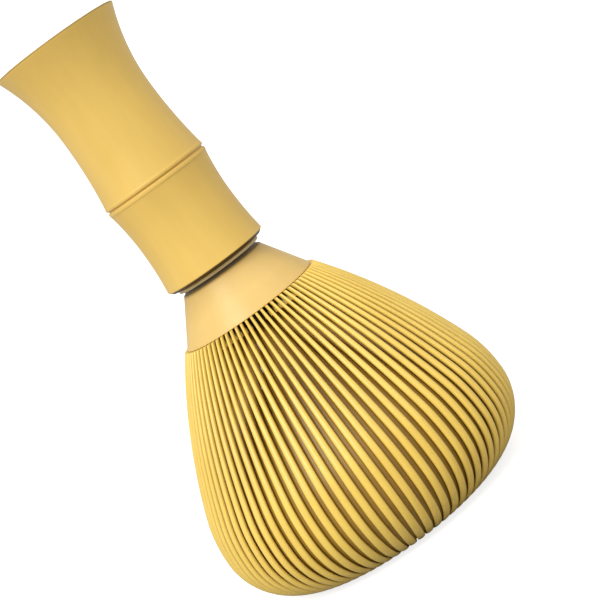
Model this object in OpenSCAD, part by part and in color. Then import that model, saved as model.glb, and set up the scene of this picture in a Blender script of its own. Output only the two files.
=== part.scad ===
// Tea whisk with a pull-off handle in the form of a bamboo culm.
// It stands on its tines with the handle up, and its axis is Z.
// The origin is on the axis, level with the lowest point of the tines.

/* [Overall] */
// Height from the lowest point of the tines to the top of the handle
overall_h = 112; // [104:0.5:140]
// Widest diameter over the outer tines
belly_d = 65; // [56:0.5:80]

/* [Outer tines] */
// Number of outer tines, and of inner tines, which stand behind the gaps
tine_count = 80; // [48:4:96]
// Thickness of a tine, measured along its own normal
tine_t = 1; // [0.8:0.05:1.4]
// How far the tines stand out from the lower edge of the collar
tine_step = 0.65; // [0.3:0.05:1.5]
// Height of the lower edge of the collar above the lowest point of the tines
tine_h = 50.5; // [44:0.5:62]
// Radius of the curl at the foot of a tine
curl_r = 12.7; // [10:0.1:15]
// How far the curl goes on inwards, counted from the belly
curl_angle = 116; // [95:1:125]
// Radius of the shoulder just above the belly
shoulder_r = 26.2; // [20:0.1:32]
// Angle that the shoulder arc turns through
shoulder_angle = 21; // [15:0.5:26]
// Gap between two tines at the collar
gap_root = 0.62; // [0.4:0.02:0.8]
// Gap between two tines at the belly
gap_belly = 1.05; // [0.8:0.05:1.4]
// Height of the tine roots below the collar
tine_pad_h = 2.2; // [1.5:0.1:3.5]
// Wall of the ring that joins the roots of the outer tines
root_wall = 2.2; // [1.5:0.1:3]
// Wall left behind the pockets between the roots
root_web = 0.8; // [0.5:0.1:1.2]
// How far those pockets reach up inside the collar
pocket_h = 1; // [0.5:0.1:1.5]

/* [Inner tines] */
// Thickness of an inner tine, measured along its own normal
inner_t = 1; // [0.8:0.05:1.2]
// Space between the outer and the inner tines, at the foot and the shoulder
ring_space = 0.3; // [0.2:0.05:2]
// How far the curl of an inner tine goes on inwards, counted from the belly
inner_curl_angle = 115; // [95:1:125]
// How far the hub of the inner tines reaches down past the roots of the outer tines
hub_drop = 0.2; // [0.1:0.05:1]
// Gap between two inner tines at the hub
inner_gap_root = 0.2; // [0.16:0.02:0.4]
// Gap between two inner tines at the belly
inner_gap_belly = 0.3; // [0.2:0.02:1]

/* [Collar] */
// Height of the collar
collar_h = 8.9; // [7:0.1:11]
// Diameter of the lower edge of the collar
collar_d = 29; // [27:0.1:32]
// Wall of the neck, between the shadow groove and the sleeve of the joint ring
neck_wall = 0.6; // [0.5:0.05:2]
// Wall of the collar at its lower edge, measured level
collar_wall = 1.5; // [1:0.1:2]
// Depth of the hollow inside the collar
collar_hollow_h = 3.7; // [3:0.1:4.5]
// Thickness of the deck that joins the outer tines to the stem
deck_t = 1.9; // [1.5:0.1:2.5]

/* [Joint ring] */
// How far the joint ring stands out from the neck of the collar
ring_step = 0.3; // [0.1:0.05:1]
// Visible height of the joint ring
ring_h = 0.6; // [0.4:0.05:1.5]
// Wall of the sleeve of the joint ring, down inside the collar
sleeve_wall = 2.2; // [1.5:0.1:3]
// Depth of that sleeve
sleeve_h = 2.4; // [1.5:0.1:3.5]
// Depth of the shadow groove under the joint ring
groove_depth = 0.5; // [0.1:0.05:0.8]
// Height of the shadow groove
groove_h = 0.75; // [0.2:0.05:1]

/* [Stem] */
// Diameter of the stem that plugs into the handle
stem_d = 11; // [9:0.1:12]
// Length of the stem above the joint ring
stem_plug_h = 14; // [10:0.5:16]
// How far the flange under the hub stays inside the inner tines
flange_inset = 1.2; // [0.8:0.1:2.5]
// Thickness of that flange
flange_h = 1.5; // [1:0.1:3]
// Diameter of the thread of the O-ring
o_ring_t = 1.06; // [0.8:0.02:1.4]
// Height of the O-ring above the joint ring
o_ring_z = 4.2; // [3:0.1:6]
// Width across the flats of the key socket in the flange
key_af = 6; // [4:0.5:7]
// Depth of the key socket
key_depth = 4; // [2:0.5:6]

/* [Handle] */
// Diameter of the rim at the top
rim_d = 26.3; // [24:0.1:30]
// Diameter of the waist above the node
waist_d = 19.8; // [19:0.1:22]
// Depth of that waist below the top
waist_drop = 16.2; // [12:0.1:20]
// Diameter of the node
node_d = 22.1; // [21:0.1:25]
// Height of the node above the lower end of the handle
node_rise = 19.5; // [18:0.1:24]
// Diameter of the waist below the node
low_waist_d = 20.5; // [20:0.1:23]
// Height of that waist above the lower end of the handle
low_waist_rise = 9.9; // [9:0.1:12]
// How far the lower face of the handle stands out from the joint ring
face_step = 1; // [0.3:0.05:1.5]
// Width of the bevel under the lip at the lower end
lip_bevel_w = 0.8; // [0.5:0.05:2]
// Height of that bevel
lip_bevel_h = 0.65; // [0.5:0.05:2]
// Bevel on the outer edge of the rim
rim_bevel = 0.5; // [0.2:0.1:1]
// Height of the groove round the node
node_groove_h = 0.45; // [0.2:0.05:0.8]
// Depth of the groove round the node
node_groove_depth = 0.3; // [0.1:0.05:0.5]
// Thickness of the wall at the rim
rim_wall = 2.6; // [2:0.1:4]
// Thickness of the wall at the upper waist
waist_wall = 2.7; // [2:0.1:4]
// Thickness of the floor of the upper hollow
floor_t = 4.5; // [2:0.5:8]

/* [Liner] */
// Wall of the liner in the handle
liner_wall = 2; // [1.2:0.1:2.4]
// Thickness of the closed end of the liner
liner_end_t = 1.8; // [1:0.1:2.5]
// Width of the keys inside the liner
key_w = 1.2; // [0.8:0.1:2]
// How far the keys stand in from the bore
key_in = 0.66; // [0.4:0.02:0.9]
// Length of the keys
key_h = 6; // [3:0.5:8]

/* [Clearances] */
// Running clearance round the stem in the liner, on the radius
stem_clear = 0.06; // [0.02:0.01:0.1]
// Clearance of the keys in their slots, on each side
key_clear = 0.1; // [0.05:0.05:0.2]
// Gap between the joint ring and the handle
joint_gap = 0.2; // [0.1:0.05:0.4]
// Space left above the end of the stem
end_space = 0.7; // [0.3:0.1:1.5]
// Space between the hub and the roots of the outer tines, on the radius
hub_clear = 0.1; // [0.05:0.05:0.3]

/* [Hidden] */
$fn = 128;
key_count = 4;
// How far a slot between tines stops short of the root ring or hub that carries them
slot_step = 0.15;
// How far a cutting shape runs on past the faces that it cuts
over = 1;

// Levels, from the foot of the tines up
collar_z = tine_h;
neck_z = collar_z + collar_h;
ring_z = neck_z + groove_h;
ring_top_z = ring_z + ring_h;
handle_z = ring_top_z + joint_gap;
stem_top_z = ring_top_z + stem_plug_h;
liner_top_z = stem_top_z + end_space + liner_end_t;
deck_top_z = collar_z + collar_hollow_h;
deck_z = deck_top_z - deck_t;
pad_z = collar_z - tine_pad_h;
hub_z = pad_z - hub_drop;
flange_z = hub_z - flange_h;
o_ring_level = ring_top_z + o_ring_z;
node_z = handle_z + node_rise;
waist_z = overall_h - waist_drop;
low_waist_z = handle_z + low_waist_rise;
hollow_floor_z = liner_top_z + floor_t;

// Radii, from the stem out
stem_r = stem_d / 2;
bore_r = stem_r + stem_clear;
liner_r = bore_r + liner_wall;
sleeve_r = stem_r + sleeve_wall;
groove_r = sleeve_r + neck_wall;
neck_r = groove_r + groove_depth;
ring_r = neck_r + ring_step;
face_r = ring_r + face_step;
lip_r = face_r + lip_bevel_w;

// Radii, from the collar in
collar_r = collar_d / 2;
root_r = collar_r + tine_step;
root_out_r = collar_r - collar_wall;
root_top_r = root_out_r - collar_hollow_h * (collar_r - neck_r) / collar_h;
root_in_r = root_out_r - root_wall;
web_r = root_in_r + root_web;
hub_r = root_in_r - hub_clear;
flange_r = hub_r - inner_t - flange_inset;
belly_r = belly_d / 2;
flute_r = stem_r - key_in - key_clear;
o_ring_seat_r = stem_r - o_ring_t + stem_clear / 2;

// Radius of the arc that starts upright and moves sideways by out over a height of rise
function arc_radius(rise, out) = (rise * rise + out * out) / (2 * out);

// Points along an arc, in steps of equal angle
function arc(centre, radius, from, to, steps) = [
    for (i = [0 : steps])
        let (angle = from + (to - from) * i / steps)
            centre + radius * [cos(angle), sin(angle)]
];

// The same points without the first, to run on from an arc that ends there
function arc_on(centre, radius, from, to, steps) = [
    for (i = [1 : steps])
        let (angle = from + (to - from) * i / steps)
            centre + radius * [cos(angle), sin(angle)]
];

// Side of a waisted tube: an arc below the waist and one above, which share it
function waisted(low, waist, high, steps) =
    let (
        down_r = arc_radius(waist[1] - low[1], low[0] - waist[0]),
        up_r = arc_radius(high[1] - waist[1], high[0] - waist[0]),
        down_turn = asin((waist[1] - low[1]) / down_r),
        up_turn = asin((high[1] - waist[1]) / up_r)
    )
    concat(
        arc([waist[0] + down_r, waist[1]], down_r, 180 + down_turn, 180, steps),
        arc_on([waist[0] + up_r, waist[1]], up_r, 180, 180 - up_turn, steps)
    );

// Centre of the curl at the foot, which both rings of tines share
foot_c = [belly_r - curl_r, curl_r];

// One face of a ring of tines, from the tip up to a height: three arcs that run into one another.
// foot_r, side_r and root belong to the outer face, and inset is how far this face lies inside it
function bell(foot_r, tip_angle, side_r, root, inset, top) =
    let (
        side_c = foot_c + [foot_r - side_r, 0],
        side_end = side_c + side_r * [cos(shoulder_angle), sin(shoulder_angle)],
        chord = root - side_end,
        turn = 2 * (atan2(-chord[0], chord[1]) - shoulder_angle),
        top_r = norm(chord) / (2 * sin(turn / 2)),
        top_c = side_end - top_r * [cos(shoulder_angle), sin(shoulder_angle)],
        end_angle = asin((top - top_c[1]) / (top_r - inset))
    )
    concat(
        arc(foot_c, foot_r - inset, -tip_angle, 0, 9),
        arc_on(side_c, side_r - inset, 0, shoulder_angle, 2),
        arc_on(top_c, top_r - inset, shoulder_angle, end_angle, 3)
    );

function reversed(points) = [for (i = [len(points) - 1 : -1 : 0]) points[i]];

// Slots in a ring of tines, from below the foot up to a height. In plan they widen evenly
// with the radius
module slots(near_r, near_w, far_r, far_w, high) {
    grow = (far_w - near_w) / (far_r - near_r);
    start_r = stem_r;
    start_w = near_w + grow * (start_r - near_r);
    reach = far_r + 5 * over;
    end_w = near_w + grow * (reach - near_r);
    for (i = [0 : tine_count - 1])
        rotate((i + 0.5) * 360 / tine_count) translate([0, 0, -over]) linear_extrude(high + over)
            polygon([
                [start_r, -start_w / 2], [reach, -end_w / 2],
                [reach, end_w / 2], [start_r, start_w / 2]
            ]);
}

module handle() {
    node_groove_r = node_d / 2 - node_groove_depth;
    under_node = [node_d / 2, node_z - node_groove_h / 2];
    over_node = [node_d / 2, node_z + node_groove_h / 2];
    lip = [lip_r, handle_z + lip_bevel_h];
    rim = [rim_d / 2, overall_h - rim_bevel];
    color("burlywood") rotate_extrude() polygon(concat(
        [[liner_r, handle_z], [face_r, handle_z]],
        waisted(lip, [low_waist_d / 2, low_waist_z], under_node, 8),
        [[node_groove_r, under_node[1]], [node_groove_r, over_node[1]]],
        waisted(over_node, [waist_d / 2, waist_z], rim, 10),
        [
            // rim, and the open hollow above the node
            [rim_d / 2 - rim_bevel, overall_h], [rim_d / 2 - rim_wall, overall_h],
            [waist_d / 2 - waist_wall, waist_z], [waist_d / 2 - waist_wall, hollow_floor_z],
            [0, hollow_floor_z],
            // closed end of the socket for the liner
            [0, liner_top_z], [liner_r, liner_top_z]
        ]
    ));
}

module handle_liner() {
    bore_top_z = stem_top_z + end_space;
    color("tan") difference() {
        translate([0, 0, handle_z]) cylinder(r = liner_r, h = liner_top_z - handle_z);
        difference() {
            translate([0, 0, handle_z - over]) cylinder(r = bore_r, h = bore_top_z - handle_z + over);
            for (i = [0 : key_count - 1])
                rotate(i * 360 / key_count)
                    translate([stem_r - key_in, -key_w / 2, bore_top_z - key_h])
                        cube([key_in + over, key_w, key_h + over]);
        }
    }
}

module joint_ring() {
    color("darkkhaki") difference() {
        union() {
            translate([0, 0, ring_z]) cylinder(r = ring_r, h = ring_h);
            translate([0, 0, ring_z - sleeve_h]) cylinder(r = sleeve_r, h = sleeve_h);
        }
        translate([0, 0, ring_z - sleeve_h - over])
            cylinder(r = stem_r, h = sleeve_h + ring_h + 2 * over);
    }
}

module stem() {
    seat_h = o_ring_t * 1.15;
    slot_z = stem_top_z + end_space - key_h - key_clear;
    color("peru") difference() {
        union() {
            translate([0, 0, flange_z]) cylinder(r = flange_r, h = flange_h);
            translate([0, 0, hub_z]) cylinder(r = stem_r, h = stem_top_z - hub_z);
        }
        // seat of the O-ring
        translate([0, 0, o_ring_level - seat_h / 2]) difference() {
            cylinder(r = stem_r + over, h = seat_h);
            translate([0, 0, -over]) cylinder(r = o_ring_seat_r, h = seat_h + 2 * over);
        }
        // slots for the keys of the liner
        for (i = [0 : key_count - 1])
            rotate(i * 360 / key_count) translate([flute_r, -key_w / 2 - key_clear, slot_z])
                cube([stem_r, key_w + 2 * key_clear, key_h + over]);
        // socket for the key that tightens the stem
        translate([0, 0, flange_z - over])
            cylinder(r = key_af / 2 / cos(30), h = key_depth + over, $fn = 6);
    }
}

module stem_o_ring() {
    color("dimgray") translate([0, 0, o_ring_level]) rotate_extrude()
        translate([o_ring_seat_r + o_ring_t / 2, 0]) circle(r = o_ring_t / 2, $fn = 48);
}

module collar() {
    color("khaki") rotate_extrude() polygon([
        // hollow over the roots of the outer tines
        [root_out_r, collar_z], [collar_r, collar_z], [neck_r, neck_z],
        // shadow groove under the joint ring
        [groove_r, neck_z], [groove_r, ring_z],
        // seat for the sleeve of the joint ring
        [sleeve_r, ring_z], [sleeve_r, ring_z - sleeve_h],
        [stem_r, ring_z - sleeve_h], [stem_r, deck_top_z], [root_top_r, deck_top_z]
    ]);
}

module outer_tines() {
    root = [root_r, collar_z];
    color("gold") difference() {
        rotate_extrude() polygon(concat(
            bell(curl_r, curl_angle, shoulder_r, root, 0, collar_z),
            [
                // root ring and deck inside the collar
                [root_out_r, collar_z], [root_top_r, deck_top_z], [stem_r, deck_top_z],
                [stem_r, deck_z], [root_in_r, deck_z], [root_in_r, pad_z]
            ],
            reversed(bell(curl_r, curl_angle, shoulder_r, root, tine_t, pad_z))
        ));
        // below the root ring the slots run right through, and in it they are pockets
        intersection() {
            slots(root_r, gap_root, belly_r, gap_belly, collar_z + pocket_h);
            rotate_extrude() polygon([
                [0, -2 * over], [2 * belly_r, -2 * over], [2 * belly_r, deck_top_z],
                [web_r, deck_top_z], [web_r, pad_z - slot_step], [0, pad_z - slot_step]
            ]);
        }
    }
}

module inner_tines() {
    inset = tine_t + ring_space;
    foot_r = curl_r - inset;
    side_r = shoulder_r - inset;
    root = [hub_r, hub_z];
    color("peru") difference() {
        rotate_extrude() polygon(concat(
            bell(foot_r, inner_curl_angle, side_r, root, 0, hub_z),
            [[hub_r, deck_z], [stem_r, deck_z], [stem_r, hub_z]],
            reversed(bell(foot_r, inner_curl_angle, side_r, root, inner_t, hub_z))
        ));
        rotate(180 / tine_count) slots(
            hub_r, inner_gap_root, belly_r - inset, inner_gap_belly, hub_z - slot_step
        );
    }
}

handle();
handle_liner();
joint_ring();
stem();
stem_o_ring();
collar();
outer_tines();
inner_tines();
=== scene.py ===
"""Tea whisk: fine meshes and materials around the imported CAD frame.

Everything is in metres, in the frame of the CAD part: the whisk stands on its tines, and Z is its axis.
"""

import math

import bpy
from mathutils import Matrix, Vector


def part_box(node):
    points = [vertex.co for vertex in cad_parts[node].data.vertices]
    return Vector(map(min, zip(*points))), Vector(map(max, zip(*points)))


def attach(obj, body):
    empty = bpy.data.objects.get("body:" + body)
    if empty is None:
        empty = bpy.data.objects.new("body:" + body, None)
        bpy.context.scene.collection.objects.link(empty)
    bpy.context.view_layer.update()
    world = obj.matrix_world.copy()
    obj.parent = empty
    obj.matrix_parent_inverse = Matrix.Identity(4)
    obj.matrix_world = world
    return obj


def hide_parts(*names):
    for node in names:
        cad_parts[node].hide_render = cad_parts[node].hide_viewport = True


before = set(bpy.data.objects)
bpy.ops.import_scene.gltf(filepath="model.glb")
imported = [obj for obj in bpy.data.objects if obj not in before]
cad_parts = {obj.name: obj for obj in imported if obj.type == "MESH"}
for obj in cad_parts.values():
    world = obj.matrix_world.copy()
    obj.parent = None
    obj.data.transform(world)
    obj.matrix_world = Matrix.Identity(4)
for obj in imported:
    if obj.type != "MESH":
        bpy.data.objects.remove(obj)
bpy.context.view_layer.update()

MM = 0.001
# shorter lengths than this count as none
TINY = 1e-7

# ---------------------------------------------------------------- sizes from the frame


def low_z(node):
    """The lowest height of a CAD node."""
    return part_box(node)[0].z


def high_z(node):
    """The greatest height of a CAD node."""
    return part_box(node)[1].z


def half_width(node):
    """Half the width of a CAD node along X, which is its greatest radius."""
    low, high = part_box(node)
    return (high.x - low.x) / 2


TOP_Z = high_z("handle")
HANDLE_Z = low_z("handle")
RING_TOP_Z = high_z("joint_ring")
SLEEVE_Z = low_z("joint_ring")
COLLAR_Z = low_z("collar")
DECK_TOP_Z = high_z("outer_tines")
DECK_Z = high_z("inner_tines")
LINER_TOP_Z = high_z("handle_liner")

RIM_R = half_width("handle")
LINER_R = half_width("handle_liner")
RING_R = half_width("joint_ring")
COLLAR_R = half_width("collar")
BELLY_R = half_width("outer_tines")
INNER_BELLY_R = half_width("inner_tines")

# the handle, the joint ring and the neck of the collar; an EDGE is the round along an edge
STEM_R = 5.5 * MM
GROOVE_R = RING_R - 0.8 * MM
NECK_R = RING_R - 0.3 * MM
SLEEVE_R = RING_R - 1.4 * MM
RING_Z = RING_TOP_Z - 0.6 * MM
NECK_Z = RING_Z - 0.75 * MM
FACE_R = RING_R + 1.0 * MM
LIP_R = FACE_R + 0.8 * MM
LIP_Z = HANDLE_Z + 0.65 * MM
LIP_EDGE = 0.12 * MM
LIP_SLOPE = 0.8
LOW_WAIST = (10.25 * MM, HANDLE_Z + 9.9 * MM)
NODE_R = 11.05 * MM
NODE_Z = HANDLE_Z + 19.5 * MM
NODE_HALF_H = 0.95 * MM
NODE_RIDGE = 0.10 * MM
NODE_GROOVE_HALF_H = 0.22 * MM
NODE_GROOVE_FLOOR_HALF_H = 0.12 * MM
NODE_GROOVE_DEEP = 0.3 * MM
NODE_STEP = 0.06 * MM
WAIST = (9.9 * MM, TOP_Z - 16.2 * MM)
WAIST_WALL = 2.7 * MM
RIM_WALL = 2.6 * MM
RIM_EDGE = 0.2 * MM
MOUTH_EDGE = 0.5 * MM
RING_EDGE = 0.18 * MM
SLEEVE_EDGE = 0.2 * MM
NECK_EDGE = 0.15 * MM
COLLAR_EDGE = 0.2 * MM
COLLAR_INNER_EDGE = 0.1 * MM
HOLLOW_R = WAIST[0] - WAIST_WALL
HOLLOW_Z = LINER_TOP_Z + 4.5 * MM
HOLLOW_ROUND = 1.5 * MM
HOLLOW_FLARE = 0.5 * MM
HOLLOW_FLARE_H = 6 * MM

# the outer tines and their root ring
TINE_COUNT = 80
TINE_T = 1.0 * MM
TINE_TIP = 1.6 * MM
TINE_ROUNDNESS = 2.1
ROOT_R = COLLAR_R + 0.65 * MM
PAD_Z = COLLAR_Z - 2.2 * MM
ROOT_OUT_R = COLLAR_R - 1.5 * MM
CONE_SLOPE = (COLLAR_R - NECK_R) / (NECK_Z - COLLAR_Z)
ROOT_TOP_R = ROOT_OUT_R - (DECK_TOP_Z - COLLAR_Z) * CONE_SLOPE
ROOT_IN_R = ROOT_OUT_R - 2.2 * MM
WEB_R = ROOT_IN_R + 0.8 * MM
POCKET_Z = COLLAR_Z + 1.0 * MM

# the plate behind each tine: how far it stays above the pad, and goes into the web and the ring
PLATE_LIFT = 0.05 * MM
PLATE_SINK = 0.1 * MM
PLATE_BURY = 0.3 * MM

# the bell
CURL_R = 12.7 * MM
CURL_TURN = math.radians(116)
SHOULDER_R = 26.2 * MM
SHOULDER_TURN = math.radians(21)
GAP_ROOT = 0.62 * MM
GAP_BELLY = 1.05 * MM

# round the foot, between these angles below the belly, the tines lose part of their thickness and
# close part of the gap between them
FOOT_FROM = math.radians(10)
FOOT_TO = math.radians(85)
FOOT_THINNING = 0.55
FOOT_CLOSING = 0.7

# shares of its width and of its thickness that a tine has left at the end of its domed tip
TIP_LEAST = 0.12
TIP_THICKNESS = 0.35

# the inner tines and their hub
INNER_T = 1.0 * MM
INNER_TIP = 1.2 * MM
INNER_ROUNDNESS = 2.2
INNER_SPACE = 0.05 * MM
INNER_INSET = BELLY_R - INNER_BELLY_R
INNER_CURL_TURN = math.radians(115)
HUB_R = ROOT_IN_R - 0.1 * MM
HUB_Z = PAD_Z - 0.2 * MM
INNER_GAP_ROOT = 0.1 * MM
INNER_GAP_BELLY = 0.16 * MM

# how fine the meshes are
LATHE_STEPS = 256
LOW_CULM_STEPS, HIGH_CULM_STEPS = 26, 30
ROUND_STEPS = 6
CORNER_STEPS = 5
RIDGE_STEPS = 8
FOOT_STEPS, SIDE_STEPS, TOP_STEPS = 34, 12, 22
TINE_SIDES = 16
CREASE = math.radians(32)

# the round of a corner takes at most this share of each side that meets there
CUT_MOST = 0.48

# ---------------------------------------------------------------- mesh helpers


def new_object(name, verts, faces, crease=CREASE):
    """A smooth-shaded mesh object whose edges above the crease angle stay sharp."""
    mesh = bpy.data.meshes.new(name)
    mesh.from_pydata([tuple(v) for v in verts], [], faces)
    mesh.validate()
    mesh.update()
    mesh.shade_smooth()
    mesh.set_sharp_from_angle(angle=crease)
    obj = bpy.data.objects.new(name, mesh)
    bpy.context.scene.collection.objects.link(obj)
    return obj


def lathe(outline):
    """Turns a closed outline of (r, z) points about Z. Points on the axis become one vertex each."""
    verts, faces, rows = [], [], []
    for r, z in outline:
        if r < TINY:
            rows.append([len(verts)] * LATHE_STEPS)
            verts.append((0.0, 0.0, z))
        else:
            rows.append(list(range(len(verts), len(verts) + LATHE_STEPS)))
            for i in range(LATHE_STEPS):
                angle = math.tau * i / LATHE_STEPS
                verts.append((r * math.cos(angle), r * math.sin(angle), z))
    for a, b in zip(rows, rows[1:] + rows[:1]):
        for i in range(LATHE_STEPS):
            j = (i + 1) % LATHE_STEPS
            corners = [a[i], a[j], b[j], b[i]]
            corners = [c for k, c in enumerate(corners) if c not in corners[:k]]
            if len(corners) > 2:
                faces.append(corners)
    return verts, faces


def arc(centre, radius, start, end, steps):
    """Points along an arc, in steps of equal angle, both ends included."""
    angles = [start + (end - start) * i / steps for i in range(steps + 1)]
    return [(centre[0] + radius * math.cos(a), centre[1] + radius * math.sin(a)) for a in angles]


def arc_radius(rise, out):
    """Radius of the arc that starts upright and moves sideways by out over a height of rise."""
    return (rise * rise + out * out) / (2 * out)


def waisted(low, waist, high, steps):
    """Side of a waisted tube: an arc below the waist and one above it."""
    down_r = arc_radius(waist[1] - low[1], low[0] - waist[0])
    up_r = arc_radius(high[1] - waist[1], high[0] - waist[0])
    down_turn = math.asin((waist[1] - low[1]) / down_r)
    up_turn = math.asin((high[1] - waist[1]) / up_r)
    below = arc((waist[0] + down_r, waist[1]), down_r, math.pi + down_turn, math.pi, steps)
    above = arc((waist[0] + up_r, waist[1]), up_r, math.pi, math.pi - up_turn, steps)
    return below + above[1:]


def rounded(points, radii):
    """A closed outline with each corner replaced by a round of its own radius."""
    out = []
    n = len(points)
    for i in range(n):
        p = Vector(points[i])
        before, after = Vector(points[i - 1]) - p, Vector(points[(i + 1) % n]) - p
        radius = radii[i]
        if radius <= 0 or before.length < TINY or after.length < TINY:
            out.append(tuple(p))
            continue
        angle = before.angle(after)
        cut = min(radius / math.tan(angle / 2), CUT_MOST * before.length, CUT_MOST * after.length)
        start, end = p + before.normalized() * cut, p + after.normalized() * cut
        for k in range(CORNER_STEPS + 1):
            t = k / CORNER_STEPS
            out.append(tuple(start * (1 - t) ** 2 + p * 2 * t * (1 - t) + end * t * t))
    return out


def bell(foot_r, tip_turn, side_r, root):
    """The outer face of a ring of tines, from the tip to the root, as (r, z) points with their normals.

    It is three arcs that run into one another: the foot, the side above the belly, and the rest up to
    the root.
    """
    foot_c = (BELLY_R - CURL_R, CURL_R)
    side_c = (foot_c[0] + foot_r - side_r, foot_c[1])
    side_end = (
        side_c[0] + side_r * math.cos(SHOULDER_TURN),
        side_c[1] + side_r * math.sin(SHOULDER_TURN),
    )
    chord = (root[0] - side_end[0], root[1] - side_end[1])
    turn = 2 * (math.atan2(-chord[0], chord[1]) - SHOULDER_TURN)
    top_r = math.hypot(*chord) / (2 * math.sin(turn / 2))
    top_c = (
        side_end[0] - top_r * math.cos(SHOULDER_TURN),
        side_end[1] - top_r * math.sin(SHOULDER_TURN),
    )
    pieces = (
        (foot_c, foot_r, -tip_turn, 0, FOOT_STEPS),
        (side_c, side_r, 0, SHOULDER_TURN, SIDE_STEPS),
        (top_c, top_r, SHOULDER_TURN, SHOULDER_TURN + turn, TOP_STEPS),
    )
    points = []
    for centre, radius, start, end, count in pieces:
        first = 1 if points else 0
        for i in range(first, count + 1):
            a = start + (end - start) * i / count
            place = (centre[0] + radius * math.cos(a), centre[1] + radius * math.sin(a))
            points.append((place, (math.cos(a), math.sin(a))))
    return points


def foot_share(normal):
    """How far round the foot a place on a tine is: 0 at the belly, 1 at the lowest point and past it."""
    down = math.atan2(-normal[1], normal[0])
    along = min(1.0, max(0.0, (down - FOOT_FROM) / (FOOT_TO - FOOT_FROM)))
    return along * along * (3 - 2 * along)


def thickness(full, normal):
    """Thickness of a tine at a place on the bell."""
    return full * (1 - FOOT_THINNING * foot_share(normal))


def tine_ring(path, thick, width_at, phase, roundness, tip_len, lift=lambda normal: 0.0):
    """All tines of one ring. Each is a closed bar with a domed tip, cut off level at its root.

    width_at gives the width at a radius. phase is the share of a pitch that the ring is turned by.
    roundness is the power of the superellipse of the section. lift gives how far the outer face
    stands out from the path at a place with a normal.
    """
    run = [0.0]
    for (p, _), (q, _) in zip(path, path[1:]):
        run.append(run[-1] + math.hypot(q[0] - p[0], q[1] - p[1]))
    section = []
    for k in range(TINE_SIDES):
        a = math.tau * (k + 0.5) / TINE_SIDES
        section.append([
            math.copysign(abs(v) ** (2 / roundness), v) for v in (math.cos(a), math.sin(a))
        ])
    rings = []
    for (place, normal), along in zip(path, run):
        # near the tip both the width and the thickness close to a dome
        end = min(1.0, along / tip_len)
        close = max(TIP_LEAST, math.sqrt(1 - (1 - end) ** 2))
        bar_t = thickness(thick, normal)
        mid_in = bar_t / 2 - lift(normal)
        mid = (place[0] - normal[0] * mid_in, place[1] - normal[1] * mid_in)
        width = width_at(place[0])
        gap = math.tau * place[0] / TINE_COUNT - width
        half_w = (width + gap * FOOT_CLOSING * foot_share(normal)) / 2 * close
        half_t = bar_t / 2 * (TIP_THICKNESS + (1 - TIP_THICKNESS) * close)
        rings.append((mid, normal, half_w, half_t))
    count = len(rings)
    root_z = path[-1][0][1]
    bar = []
    for i, (mid, normal, half_w, half_t) in enumerate(rings):
        for across, out in section:
            r = mid[0] + normal[0] * half_t * out
            z = mid[1] + normal[1] * half_t * out
            if i == count - 1:
                # the last section slides along the tine until it lies level
                r -= (root_z - z) * normal[1] / normal[0]
                z = root_z
            bar.append((r, half_w * across, z))
    verts, faces = [], []
    for n in range(TINE_COUNT):
        turn = math.tau * (n + phase) / TINE_COUNT
        c, s = math.cos(turn), math.sin(turn)
        base = len(verts)
        verts += [(r * c - w * s, r * s + w * c, z) for r, w, z in bar]
        for i in range(count - 1):
            a, b = base + i * TINE_SIDES, base + (i + 1) * TINE_SIDES
            for k in range(TINE_SIDES):
                m = (k + 1) % TINE_SIDES
                faces.append((a + k, a + m, b + m, b + k))
        faces.append(tuple(base + k for k in reversed(range(TINE_SIDES))))
        last = base + (count - 1) * TINE_SIDES
        faces.append(tuple(last + k for k in range(TINE_SIDES)))
    return verts, faces


def fins(outline, width_at, phase):
    """One upright plate behind each tine: a closed (r, z) outline, as wide at each point as the rule says."""
    verts, faces = [], []
    count = len(outline)
    for n in range(TINE_COUNT):
        turn = math.tau * (n + phase) / TINE_COUNT
        c, s = math.cos(turn), math.sin(turn)
        base = len(verts)
        for side in (-0.5, 0.5):
            for r, z in outline:
                w = width_at(r) * side
                verts.append((r * c - w * s, r * s + w * c, z))
        faces.append(tuple(base + i for i in range(count)))
        faces.append(tuple(base + count + i for i in reversed(range(count))))
        for i in range(count):
            j = (i + 1) % count
            faces.append((base + j, base + i, base + count + i, base + count + j))
    return verts, faces


def join(*meshes):
    """One list of vertices and one of faces from several."""
    verts, faces = [], []
    for vs, fs in meshes:
        base = len(verts)
        verts += list(vs)
        faces += [tuple(i + base for i in f) for f in fs]
    return verts, faces


# ---------------------------------------------------------------- materials

# noises: stretch along each axis, waves per metre, detail, and the part of the range that is used
MOTTLE = ((1, 1, 0.45), 90, 2.0, (0.32, 0.68))
FLOW_LINES = ((1, 1, 0.05), 900, 2.0, (0.35, 0.65))
RESIN_SKIN = ((1, 1, 1), 5200, 2.0, (0.3, 0.7))
RUBBER_BLOOM = ((1, 1, 1), 700, 3.0, (0.4, 0.7))
RUBBER_SKIN = ((1, 1, 1), 9000, 2.0, (0.3, 0.7))
FLOOR_SPECKLE = ((1, 1, 1), 60, 2.0, (0.0, 1.0))
NOISE_ROUGHNESS = 0.55

FLOW_DARKER, FLOW_LIGHTER = 0.09, 0.04
FLOW_DEPTH = 0.03 * MM
SKIN_DEPTH = 0.008 * MM
RESIN_SPECULAR = 0.45

# painted shade: the dark brown that the lip bevel, the neck groove and the pockets behind the tine roots are
# painted towards
PAINTED_SHADE_BROWN = (0.030, 0.014, 0.003)
# the dull brown of the darker bands: a painted shadow on the collar's neck, and a darker top edge on the rim
BAND_BROWN = (0.20, 0.125, 0.025)
RUBBER_BLACK, RUBBER_GREY = (0.018, 0.018, 0.018), (0.05, 0.05, 0.047)
RUBBER_ROUGHNESS = (0.55, 0.75)
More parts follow.
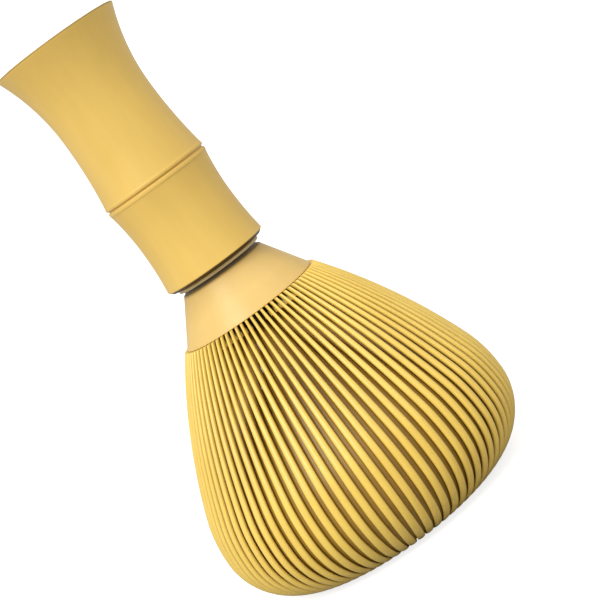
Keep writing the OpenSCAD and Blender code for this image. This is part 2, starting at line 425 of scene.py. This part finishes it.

# painted shade under the lip, in the neck groove and behind the tine roots: heights or a radius, and then how
# softly the shade ends; the face radius keeps it off the handle's flat lower face
LIP_PAINTED_SHADE = (HANDLE_Z - 1 * MM, LIP_Z - 0.2 * MM, 0.12 * MM)
FACE_UNSHADED = (FACE_R, 0.4 * MM)
GROOVE_PAINTED_SHADE = (NECK_Z + 0.3 * MM, RING_Z, 0.75 * MM)
POCKET_PAINTED_SHADE = (ROOT_R - 1.25 * MM, 0.5 * MM)

# darker bands: the height each starts at, the height it is full at, and its share of the colour there; on the
# collar's neck a painted shadow of the handle's lip, on the rim a darker top edge
RIM_TOP_BAND = (TOP_Z - RIM_EDGE - 0.25 * MM, TOP_Z - RIM_EDGE + 0.05 * MM, 0.75)
NECK_PAINTED_SHADOW = (NECK_Z - 5 * MM, NECK_Z, 0.25)


class Nodes:
    """Short ways to add nodes to one material."""

    def __init__(self, name):
        self.material = bpy.data.materials.new(name)
        self.material.use_nodes = True
        self.tree = self.material.node_tree
        self.shader = self.tree.nodes["Principled BSDF"]
        self.place = self.add("ShaderNodeTexCoord").outputs["Object"]

    def add(self, kind, **settings):
        node = self.tree.nodes.new(kind)
        for key, value in settings.items():
            setattr(node, key, value)
        return node

    def link(self, a, b):
        self.tree.links.new(a, b)

    def noise(self, kind):
        """Noise in object space, of one of the kinds listed above."""
        stretch, scale, detail, _ = kind
        mapping = self.add("ShaderNodeMapping")
        mapping.inputs["Scale"].default_value = stretch
        self.link(self.place, mapping.inputs["Vector"])
        noise = self.add("ShaderNodeTexNoise")
        noise.inputs["Scale"].default_value = scale
        noise.inputs["Detail"].default_value = detail
        noise.inputs["Roughness"].default_value = NOISE_ROUGHNESS
        self.link(mapping.outputs["Vector"], noise.inputs["Vector"])
        return noise.outputs["Fac"]

    def height(self):
        """Height of the point, in metres."""
        split = self.add("ShaderNodeSeparateXYZ")
        self.link(self.place, split.inputs["Vector"])
        return split.outputs["Z"]

    def radius(self):
        """Distance of the point from the axis, in metres."""
        flat = self.add("ShaderNodeVectorMath", operation="MULTIPLY")
        flat.inputs[1].default_value = (1, 1, 0)
        self.link(self.place, flat.inputs[0])
        length = self.add("ShaderNodeVectorMath", operation="LENGTH")
        self.link(flat.outputs["Vector"], length.inputs[0])
        return length.outputs["Value"]

    def times(self, a, b):
        """Product of two outputs."""
        node = self.add("ShaderNodeMath", operation="MULTIPLY")
        self.link(a, node.inputs[0])
        self.link(b, node.inputs[1])
        return node.outputs["Value"]

    def span(self, value, low, high, to_low=0.0, to_high=1.0):
        """The value taken from one range to another, and held at its ends."""
        node = self.add("ShaderNodeMapRange")
        for name, v in (("From Min", low), ("From Max", high), ("To Min", to_low), ("To Max", to_high)):
            node.inputs[name].default_value = v
        self.link(value, node.inputs["Value"])
        return node.outputs["Result"]

    def mix(self, fac, a, b, mode="MIX"):
        """A mix of two colours, each a colour or the output of a node."""
        node = self.add("ShaderNodeMix", data_type="RGBA", blend_type=mode)
        for socket, value in ((node.inputs["Factor"], fac), (node.inputs["A"], a), (node.inputs["B"], b)):
            if isinstance(value, bpy.types.NodeSocket):
                self.link(value, socket)
            else:
                socket.default_value = (*value, 1.0) if isinstance(value, tuple) else value
        return node.outputs["Result"]

    def bump(self, layers):
        """Bumps on top of one another, each with its height in metres."""
        normal = None
        for height, metres in layers:
            node = self.add("ShaderNodeBump")
            node.inputs["Strength"].default_value = 1.0
            node.inputs["Distance"].default_value = metres
            self.link(height, node.inputs["Height"])
            if normal is not None:
                self.link(normal, node.inputs["Normal"])
            normal = node.outputs["Normal"]
        self.link(normal, self.shader.inputs["Normal"])


def resin(name, light, dark, rough=(0.34, 0.46), grain=0.5, painted_shade=None, dark_band=None):
    """Satin bamboo-coloured resin: soft mottling, faint flow lines along the axis and a fine moulded skin.

    light and dark are the colours of the mottling, rough is the range of the roughness, and grain is
    the strength of the flow lines. The shade rule, the argument after grain, adds nodes for how strong
    the painted shade is at a place, from 0 to 1. The band, the last argument, is two heights and a
    share: between the heights, the colour turns towards a dull brown by up to that share; on the
    collar's neck this is a painted shadow.
    """
    n = Nodes(name)
    mottle, lines, skin = n.noise(MOTTLE), n.noise(FLOW_LINES), n.noise(RESIN_SKIN)
    colour = n.mix(n.span(mottle, *MOTTLE[-1]), light, dark)
    streak = n.span(lines, *FLOW_LINES[-1], 1 - FLOW_DARKER * grain, 1 + FLOW_LIGHTER * grain)
    tint = n.add("ShaderNodeCombineColor")
    for socket in ("Red", "Green", "Blue"):
        n.link(streak, tint.inputs[socket])
    colour = n.mix(1.0, colour, tint.outputs["Color"], "MULTIPLY")
    # painted shade: the colour turns dark brown where the rule says shade falls
    if painted_shade:
        colour = n.mix(painted_shade(n), colour, PAINTED_SHADE_BROWN)
    # a dull brown band by height: on the collar's neck it is a painted shadow
    if dark_band:
        low, high, share = dark_band
        colour = n.mix(n.span(n.height(), low, high, to_high=share), colour, BAND_BROWN)
    n.link(colour, n.shader.inputs["Base Color"])
    n.link(n.span(skin, *RESIN_SKIN[-1], *rough), n.shader.inputs["Roughness"])
    n.bump(((lines, FLOW_DEPTH * grain), (skin, SKIN_DEPTH)))
    n.shader.inputs["Specular IOR Level"].default_value = RESIN_SPECULAR
    return n.material


def painted_shade_band(low, high, soft):
    """Painted shade in a band of heights, with soft edges: in a groove or under a lip."""
    def rule(n):
        height = n.height()
        above = n.span(height, low - soft, low)
        below = n.span(height, high, high + soft, 1.0, 0.0)
        return n.times(above, below)
    return rule


def painted_shade_inside(radius, soft):
    """Painted shade nearer the axis than a radius: at the back of the pockets between the roots."""
    def rule(n):
        return n.span(n.radius(), radius, radius + soft, 1.0, 0.0)
    return rule


def painted_shade_outside(radius, soft, band):
    """The painted shade of another rule, kept to places farther from the axis than a radius."""
    def rule(n):
        return n.times(band(n), n.span(n.radius(), radius - soft, radius))
    return rule


def rubber(name):
    """Black nitrile rubber: matt, with a fine skin and a little grey bloom."""
    n = Nodes(name)
    bloom, skin = n.noise(RUBBER_BLOOM), n.noise(RUBBER_SKIN)
    colour = n.mix(n.span(bloom, *RUBBER_BLOOM[-1]), RUBBER_BLACK, RUBBER_GREY)
    n.link(colour, n.shader.inputs["Base Color"])
    n.link(n.span(skin, *RUBBER_SKIN[-1], *RUBBER_ROUGHNESS), n.shader.inputs["Roughness"])
    n.bump(((skin, SKIN_DEPTH),))
    return n.material


# painted shade on the bevel under the handle's lip; the rim's top edge is turned a darker brown
HANDLE_RESIN = resin(
    "handle_resin", (0.76, 0.50, 0.115), (0.70, 0.455, 0.10), grain=0.15,
    painted_shade=painted_shade_outside(*FACE_UNSHADED, painted_shade_band(*LIP_PAINTED_SHADE)), dark_band=RIM_TOP_BAND
)
# painted shade in the neck groove, fading down onto the collar, and a painted shadow of the handle's lip on
# the collar's neck
COLLAR_RESIN = resin(
    "collar_resin", (0.72, 0.485, 0.15), (0.67, 0.44, 0.13), grain=0.12,
    painted_shade=painted_shade_band(*GROOVE_PAINTED_SHADE), dark_band=NECK_PAINTED_SHADOW
)
RING_RESIN = resin("ring_resin", (0.66, 0.53, 0.26), (0.58, 0.46, 0.21), grain=0.12)
# painted shade at the back of the pockets between the tine roots
TINE_RESIN = resin(
    "tine_resin", (0.82, 0.575, 0.115), (0.76, 0.515, 0.095), (0.24, 0.34), grain=0.4,
    painted_shade=painted_shade_inside(*POCKET_PAINTED_SHADE)
)
# inner tines: resin darkened as painted shade, for the shade they lie in behind the outer tines
INNER_PAINTED_SHADE_RESIN = resin("inner_tine_resin", (0.35, 0.20, 0.025), (0.28, 0.155, 0.018), (0.4, 0.5))
STEM_RESIN = resin("stem_resin", (0.62, 0.42, 0.16), (0.55, 0.36, 0.13))
LINER_RESIN = resin("liner_resin", (0.62, 0.42, 0.16), (0.54, 0.35, 0.13))
SEAL_RUBBER = rubber("seal_rubber")

# ---------------------------------------------------------------- pieces


def place_piece(obj, body, material, node):
    """Gives a piece its material, and puts it in the place of its CAD node."""
    obj.data.materials.append(material)
    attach(obj, body)
    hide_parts(node)


def node_groove():
    """The groove between two lengths of culm, with a low ridge on each side of it."""
    middle = (NODE_HALF_H + NODE_GROOVE_HALF_H) / 2
    half_h = (NODE_HALF_H - NODE_GROOVE_HALF_H) / 2
    ridge = arc((0, 0), 1, math.pi, 0, RIDGE_STEPS)
    under = [(NODE_R + NODE_RIDGE / 2 * out, NODE_Z - middle + half_h * up) for up, out in ridge]
    above = [(NODE_R + NODE_RIDGE * out, NODE_Z + middle + half_h * up) for up, out in ridge]
    floor_r = NODE_R - NODE_GROOVE_DEEP
    floor = [(floor_r, NODE_Z + side * NODE_GROOVE_FLOOR_HALF_H) for side in (-1, 1)]
    return under + floor + above[:-1]


def make_handle():
    """The grip: bevelled lip, two waisted lengths of culm, the node between them and a flared open rim."""
    low_end, high_start = (NODE_R - NODE_STEP, NODE_Z - NODE_HALF_H), (NODE_R, NODE_Z + NODE_HALF_H)
    low = waisted((LIP_R, LIP_Z), LOW_WAIST, low_end, LOW_CULM_STEPS)
    high = waisted(high_start, WAIST, (RIM_R, TOP_Z - RIM_EDGE), HIGH_CULM_STEPS)
    rim_c = (RIM_R - RIM_EDGE, TOP_Z - RIM_EDGE)
    mouth_c = (RIM_R - RIM_WALL + MOUTH_EDGE, TOP_Z - MOUTH_EDGE)
    floor_c = (HOLLOW_R - HOLLOW_ROUND, HOLLOW_Z + HOLLOW_ROUND)
    outline = (
        [(LINER_R, HANDLE_Z), (FACE_R, HANDLE_Z), (LIP_R - LIP_EDGE, LIP_Z - LIP_EDGE * LIP_SLOPE)]
        + low + node_groove() + high
        + arc(rim_c, RIM_EDGE, 0, math.pi / 2, ROUND_STEPS)[1:]
        + arc(mouth_c, MOUTH_EDGE, math.pi / 2, math.pi, ROUND_STEPS)
        + [(HOLLOW_R + HOLLOW_FLARE, WAIST[1] + HOLLOW_FLARE_H), (HOLLOW_R, WAIST[1])]
        + arc(floor_c, HOLLOW_ROUND, 0, -math.pi / 2, ROUND_STEPS)
        + [(0, HOLLOW_Z), (0, LINER_TOP_Z), (LINER_R, LINER_TOP_Z)]
    )
    return new_object("handle_grip", *lathe(outline))


def make_joint_ring():
    """The khaki ring between the handle and the collar, with its sleeve down inside the collar."""
    corners = [
        (STEM_R, SLEEVE_Z), (SLEEVE_R, SLEEVE_Z), (SLEEVE_R, RING_Z),
        (RING_R, RING_Z), (RING_R, RING_TOP_Z), (STEM_R, RING_TOP_Z),
    ]
    radii = [0, SLEEVE_EDGE, 0, RING_EDGE, RING_EDGE, 0]
    return new_object("joint_ring_fine", *lathe(rounded(corners, radii)))


def make_collar():
    """The smooth cone that the tines step out from, with a shadow groove at its neck."""
    corners = [
        (ROOT_OUT_R, COLLAR_Z), (COLLAR_R, COLLAR_Z), (NECK_R, NECK_Z),
        (GROOVE_R, NECK_Z), (GROOVE_R, RING_Z), (SLEEVE_R, RING_Z), (SLEEVE_R, SLEEVE_Z),
        (STEM_R, SLEEVE_Z), (STEM_R, DECK_TOP_Z), (ROOT_TOP_R, DECK_TOP_Z),
    ]
    radii = [COLLAR_INNER_EDGE, COLLAR_EDGE, NECK_EDGE]
    radii += [0] * (len(corners) - len(radii))
    return new_object("collar_cone", *lathe(rounded(corners, radii)))


def gap_rule(near_r, near_gap, far_r, far_gap):
    """Width of a tine at a radius: the pitch there less the gap, which widens evenly with the radius."""
    def width(r):
        gap = near_gap + (far_gap - near_gap) * (r - near_r) / (far_r - near_r)
        return math.tau * r / TINE_COUNT - gap
    return width


def make_outer_tines():
    """The outer ring: tines, the root ring that they hang from, and a plate behind each."""
    path = bell(CURL_R, CURL_TURN, SHOULDER_R, (ROOT_R, COLLAR_Z))
    width = gap_rule(ROOT_R, GAP_ROOT, BELLY_R, GAP_BELLY)
    tines = tine_ring(path, TINE_T, width, 0, TINE_ROUNDNESS, TINE_TIP)
    pocket_out_r = ROOT_OUT_R - (POCKET_Z - COLLAR_Z) * CONE_SLOPE
    root_ring = [
        (STEM_R, DECK_Z), (ROOT_IN_R, DECK_Z), (ROOT_IN_R, PAD_Z), (WEB_R, PAD_Z), (WEB_R, POCKET_Z),
        (pocket_out_r, POCKET_Z), (ROOT_TOP_R, DECK_TOP_Z), (STEM_R, DECK_TOP_Z),
    ]
    plate_z, plate_top_z = PAD_Z + PLATE_LIFT, POCKET_Z + PLATE_SINK
    plate = [
        (WEB_R - PLATE_BURY, plate_z), (ROOT_R - PLATE_BURY, plate_z), (ROOT_OUT_R, COLLAR_Z),
        (pocket_out_r, plate_top_z), (WEB_R - PLATE_BURY, plate_top_z),
    ]
    return new_object("outer_tine_ring", *join(tines, lathe(root_ring), fins(plate, width, 0)))


def make_inner_tines():
    """The inner ring: tines half a pitch round from the outer ones, and their hub."""
    path = bell(CURL_R - INNER_INSET, INNER_CURL_TURN, SHOULDER_R - INNER_INSET, (HUB_R, HUB_Z))
    width = gap_rule(HUB_R, INNER_GAP_ROOT, INNER_BELLY_R, INNER_GAP_BELLY)
    # the crowns rise a little into the gaps of the outer ring, and follow it where it thins
    tines = tine_ring(
        path, INNER_T, width, 0.5, INNER_ROUNDNESS, INNER_TIP,
        lambda normal: INNER_INSET - thickness(TINE_T, normal) - INNER_SPACE
    )
    hub = [(STEM_R, HUB_Z), (HUB_R, HUB_Z), (HUB_R, DECK_Z), (STEM_R, DECK_Z)]
    return new_object("inner_tine_ring", *join(tines, lathe(hub)))


place_piece(make_handle(), "grip", HANDLE_RESIN, "handle")
place_piece(make_joint_ring(), "head", RING_RESIN, "joint_ring")
place_piece(make_collar(), "head", COLLAR_RESIN, "collar")
place_piece(make_outer_tines(), "head", TINE_RESIN, "outer_tines")
place_piece(make_inner_tines(), "head", INNER_PAINTED_SHADE_RESIN, "inner_tines")

for node, material in (("stem", STEM_RESIN), ("handle_liner", LINER_RESIN), ("stem_o_ring", SEAL_RUBBER)):
    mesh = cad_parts[node].data
    mesh.materials.clear()
    mesh.materials.append(material)

# ---------------------------------------------------------------- studio

FLOOR_GREYS = ((0.36, 0.36, 0.36), (0.38, 0.38, 0.38))
FLOOR_GLOW = 0.8
WORLD_GLOW = 0.45

# azimuth 0 shines from the camera's side and 90 from the right, in degrees
LIGHTS = (
    dict(name="key", azimuth=-35, elevation=42, strength=2.2, spread=32),
    dict(name="fill", azimuth=35, elevation=50, strength=1.2, spread=70),
    dict(name="left_side", azimuth=-100, elevation=25, strength=0.55, spread=60),
    dict(name="right_side", azimuth=100, elevation=25, strength=0.35, spread=60),
)


def make_stage():
    """A pale floor that sweeps up behind the whisk in one smooth curve."""
    reach, back, bend, top, half, bend_steps = 6.0, 1.5, 0.8, 2.6, 3.0, 24
    profile = [(-reach, 0.0), (back - bend, 0.0)]
    profile += arc((back - bend, bend), bend, -math.pi / 2, 0, bend_steps)[1:]
    profile.append((back, top))
    verts = [(x, y, z) for y, z in profile for x in (-half, half)]
    faces = [(2 * i, 2 * i + 1, 2 * i + 3, 2 * i + 2) for i in range(len(profile) - 1)]
    floor = new_object("studio_floor", verts, faces, math.pi)
    n = Nodes("studio_white")
    n.link(n.mix(n.noise(FLOOR_SPECKLE), *FLOOR_GREYS), n.shader.inputs["Base Color"])
    n.shader.inputs["Roughness"].default_value = 0.9
    n.shader.inputs["Specular IOR Level"].default_value = 0.1
    n.shader.inputs["Emission Color"].default_value = (1, 1, 1, 1)
    n.shader.inputs["Emission Strength"].default_value = FLOOR_GLOW
    floor.data.materials.append(n.material)
    # the floor glows like a lit backdrop, and its glow falls on nothing else
    lit = bpy.data.collections.new("floor_glow")
    lit.objects.link(floor)
    floor.light_linking.receiver_collection = lit


def sun_light(name, azimuth, elevation, strength, spread):
    """A soft far light. Its angles are in degrees."""
    a, e = math.radians(azimuth), math.radians(elevation)
    source = Vector((math.sin(a) * math.cos(e), -math.cos(a) * math.cos(e), math.sin(e)))
    data = bpy.data.lights.new(name, "SUN")
    data.energy = strength
    data.angle = math.radians(spread)
    light = bpy.data.objects.new(name, data)
    light.rotation_mode = "QUATERNION"
    light.rotation_quaternion = (-source).to_track_quat("-Z", "Y")
    bpy.context.scene.collection.objects.link(light)


def make_light():
    """The lights, a pale world and a plain view transform."""
    for light in LIGHTS:
        sun_light(**light)
    world = bpy.data.worlds.new("studio")
    world.use_nodes = True
    background = world.node_tree.nodes["Background"]
    background.inputs["Color"].default_value = (1, 1, 1, 1)
    background.inputs["Strength"].default_value = WORLD_GLOW
    bpy.context.scene.world = world
    bpy.context.scene.view_settings.view_transform = "Standard"


def make_camera():
    """The camera looks slightly down at the standing whisk and is rolled, so that the whisk leans."""
    distance, height = 0.330, 0.08905
    aim_side, aim_z = 0.008593, 0.045698
    roll, lens, turn = math.radians(-36.112), 104.545, math.radians(-1.25)
    spin = Matrix.Rotation(turn, 3, "Z")
    place = spin @ Vector((0, -distance, height))
    look = (spin @ Vector((aim_side, 0, aim_z)) - place).normalized()
    side = look.cross(Vector((0, 0, 1))).normalized()
    up = side.cross(look)
    right = side * math.cos(roll) + up * math.sin(roll)
    up = up * math.cos(roll) - side * math.sin(roll)
    data = bpy.data.cameras.new("camera")
    data.sensor_width = 36
    data.lens = lens
    data.clip_start, data.clip_end = 0.01, 20
    camera = bpy.data.objects.new("camera", data)
    camera.matrix_world = Matrix.Translation(place) @ Matrix((right, up, -look)).transposed().to_4x4()
    bpy.context.scene.collection.objects.link(camera)
    bpy.context.scene.camera = camera


make_stage()
make_light()
make_camera()
